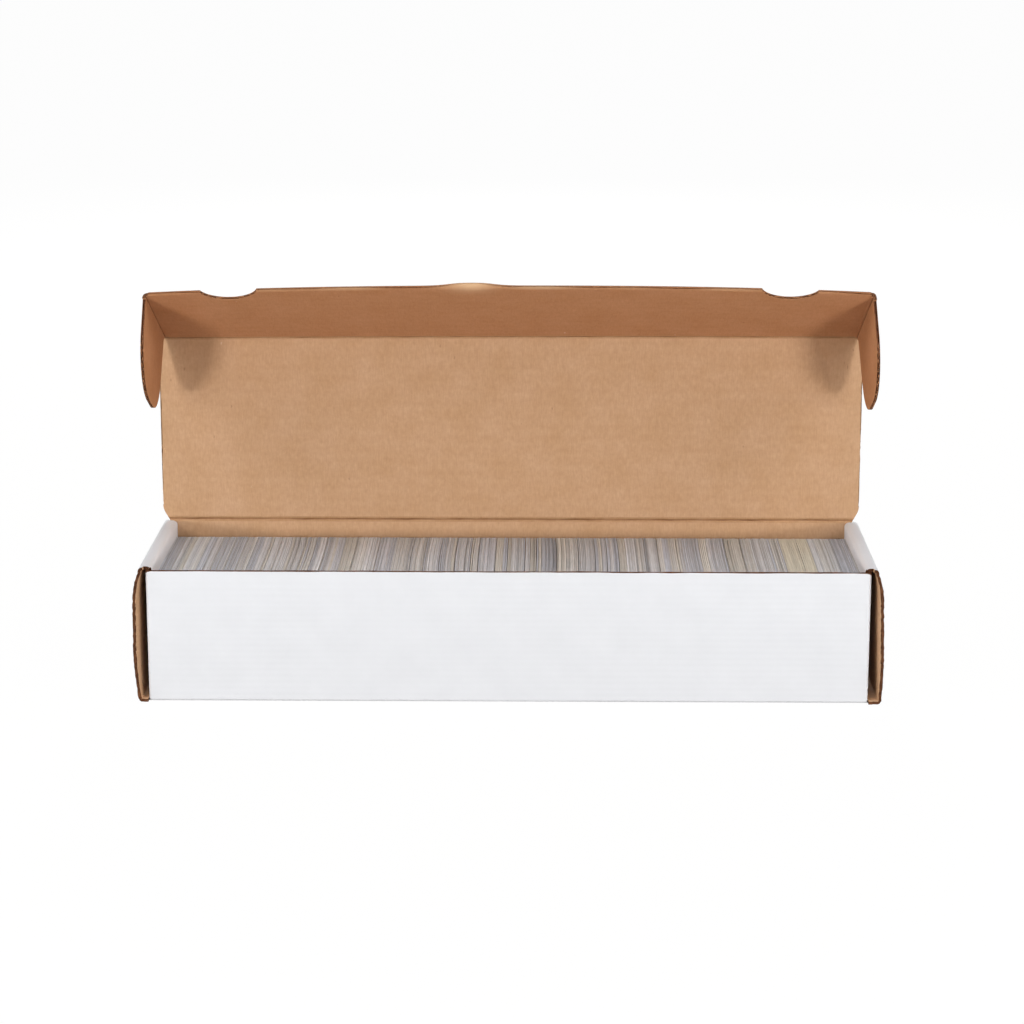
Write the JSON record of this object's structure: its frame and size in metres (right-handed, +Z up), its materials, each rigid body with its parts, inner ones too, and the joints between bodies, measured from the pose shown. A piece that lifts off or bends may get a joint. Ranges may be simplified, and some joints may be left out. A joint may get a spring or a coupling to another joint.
{
  "type": "trading card storage box",
  "caption": "Long white corrugated box with kraft inside, open hinged lid with a notched front flap and locking ears, filled with a row of cards standing on edge.",
  "frame": {"origin": "middle of the base's underside", "axes": "+X along the box's length, +Y towards the lid hinge, +Z up"},
  "size_m": [0.398, 0.1069, 0.2141],
  "materials": {
    "white_lined_board": "matte clay-coated white liner",
    "kraft_faced_board": "matte brown kraft liner, white on the outside",
    "card_stock": "cut edges of coated card"
  },
  "bodies": {
    "tray": {"base_panel": "kraft_faced_board", "front_wall": "white_lined_board", "back_wall": "kraft_faced_board", "lid_crease": "kraft_faced_board", "left_end_outer": "white_lined_board", "left_end_rollover": "white_lined_board", "left_end_inner": "white_lined_board", "front_left_corner_flap": "kraft_faced_board", "back_left_corner_flap": "kraft_faced_board", "right_end_outer": "white_lined_board", "right_end_rollover": "white_lined_board", "right_end_inner": "white_lined_board", "front_right_corner_flap": "kraft_faced_board", "back_right_corner_flap": "kraft_faced_board"},
    "lid": {"lid_panel": "kraft_faced_board", "flap_crease": "kraft_faced_board"},
    "front_flap": {"lid_front_flap": "kraft_faced_board", "left_ear_crease": "kraft_faced_board", "right_ear_crease": "kraft_faced_board"},
    "left_ear": {"left_ear": "kraft_faced_board"},
    "right_ear": {"right_ear": "kraft_faced_board"},
    "card_pack_01": {"card_pack_01": "card_stock"},
    "card_pack_02": {"card_pack_02": "card_stock"},
    "card_pack_03": {"card_pack_03": "card_stock"},
    "card_pack_04": {"card_pack_04": "card_stock"},
    "card_pack_05": {"card_pack_05": "card_stock"},
    "card_pack_06": {"card_pack_06": "card_stock"},
    "card_pack_07": {"card_pack_07": "card_stock"},
    "card_pack_08": {"card_pack_08": "card_stock"},
    "card_pack_09": {"card_pack_09": "card_stock"},
    "card_pack_10": {"card_pack_10": "card_stock"},
    "card_pack_11": {"card_pack_11": "card_stock"},
    "card_pack_12": {"card_pack_12": "card_stock"},
    "card_pack_13": {"card_pack_13": "card_stock"},
    "card_pack_14": {"card_pack_14": "card_stock"},
    "card_pack_15": {"card_pack_15": "card_stock"},
    "card_pack_16": {"card_pack_16": "card_stock"}
  },
  "joints": [
    {"name": "lid_hinge", "type": "hinge", "parent": "tray", "child": "lid", "pos_m": [0, 0.0522, 0.0755], "axis": [-1, 0, 0], "range_deg": [-90.5, 29.5], "deforming": ["left_ear", "right_ear"]},
    {"name": "front_flap_hinge", "type": "hinge", "parent": "lid", "child": "front_flap", "pos_m": [0, 0.05311, 0.1798], "axis": [-1, 0, 0], "range_deg": [-27.7, 62.3]},
    {"name": "left_ear_hinge", "type": "hinge", "parent": "front_flap", "child": "left_ear", "pos_m": [-0.1933, 0.02138, 0.19681], "axis": [0, 0.8813, -0.4726], "range_deg": [0, 90]},
    {"name": "right_ear_hinge", "type": "hinge", "parent": "front_flap", "child": "right_ear", "pos_m": [0.1933, 0.02138, 0.19681], "axis": [0, -0.8813, 0.4726], "range_deg": [0, 90]},
    {"name": "card_pack_01_lift", "type": "slide", "parent": "tray", "child": "card_pack_01", "axis": [0, 0, 1], "range_m": [0, 0.076]},
    {"name": "card_pack_02_lift", "type": "slide", "parent": "tray", "child": "card_pack_02", "axis": [0, 0, 1], "range_m": [0, 0.076]},
    {"name": "card_pack_03_lift", "type": "slide", "parent": "tray", "child": "card_pack_03", "axis": [0, 0, 1], "range_m": [0, 0.076]},
    {"name": "card_pack_04_lift", "type": "slide", "parent": "tray", "child": "card_pack_04", "axis": [0, 0, 1], "range_m": [0, 0.076]},
    {"name": "card_pack_05_lift", "type": "slide", "parent": "tray", "child": "card_pack_05", "axis": [0, 0, 1], "range_m": [0, 0.076]},
    {"name": "card_pack_06_lift", "type": "slide", "parent": "tray", "child": "card_pack_06", "axis": [0, 0, 1], "range_m": [0, 0.076]},
    {"name": "card_pack_07_lift", "type": "slide", "parent": "tray", "child": "card_pack_07", "axis": [0, 0, 1], "range_m": [0, 0.076]},
    {"name": "card_pack_08_lift", "type": "slide", "parent": "tray", "child": "card_pack_08", "axis": [0, 0, 1], "range_m": [0, 0.076]},
    {"name": "card_pack_09_lift", "type": "slide", "parent": "tray", "child": "card_pack_09", "axis": [0, 0, 1], "range_m": [0, 0.076]},
    {"name": "card_pack_10_lift", "type": "slide", "parent": "tray", "child": "card_pack_10", "axis": [0, 0, 1], "range_m": [0, 0.076]},
    {"name": "card_pack_11_lift", "type": "slide", "parent": "tray", "child": "card_pack_11", "axis": [0, 0, 1], "range_m": [0, 0.076]},
    {"name": "card_pack_12_lift", "type": "slide", "parent": "tray", "child": "card_pack_12", "axis": [0, 0, 1], "range_m": [0, 0.076]},
    {"name": "card_pack_13_lift", "type": "slide", "parent": "tray", "child": "card_pack_13", "axis": [0, 0, 1], "range_m": [0, 0.076]},
    {"name": "card_pack_14_lift", "type": "slide", "parent": "tray", "child": "card_pack_14", "axis": [0, 0, 1], "range_m": [0, 0.076]},
    {"name": "card_pack_15_lift", "type": "slide", "parent": "tray", "child": "card_pack_15", "axis": [0, 0, 1], "range_m": [0, 0.076]},
    {"name": "card_pack_16_lift", "type": "slide", "parent": "tray", "child": "card_pack_16", "axis": [0, 0, 1], "range_m": [0, 0.076]}
  ]
}
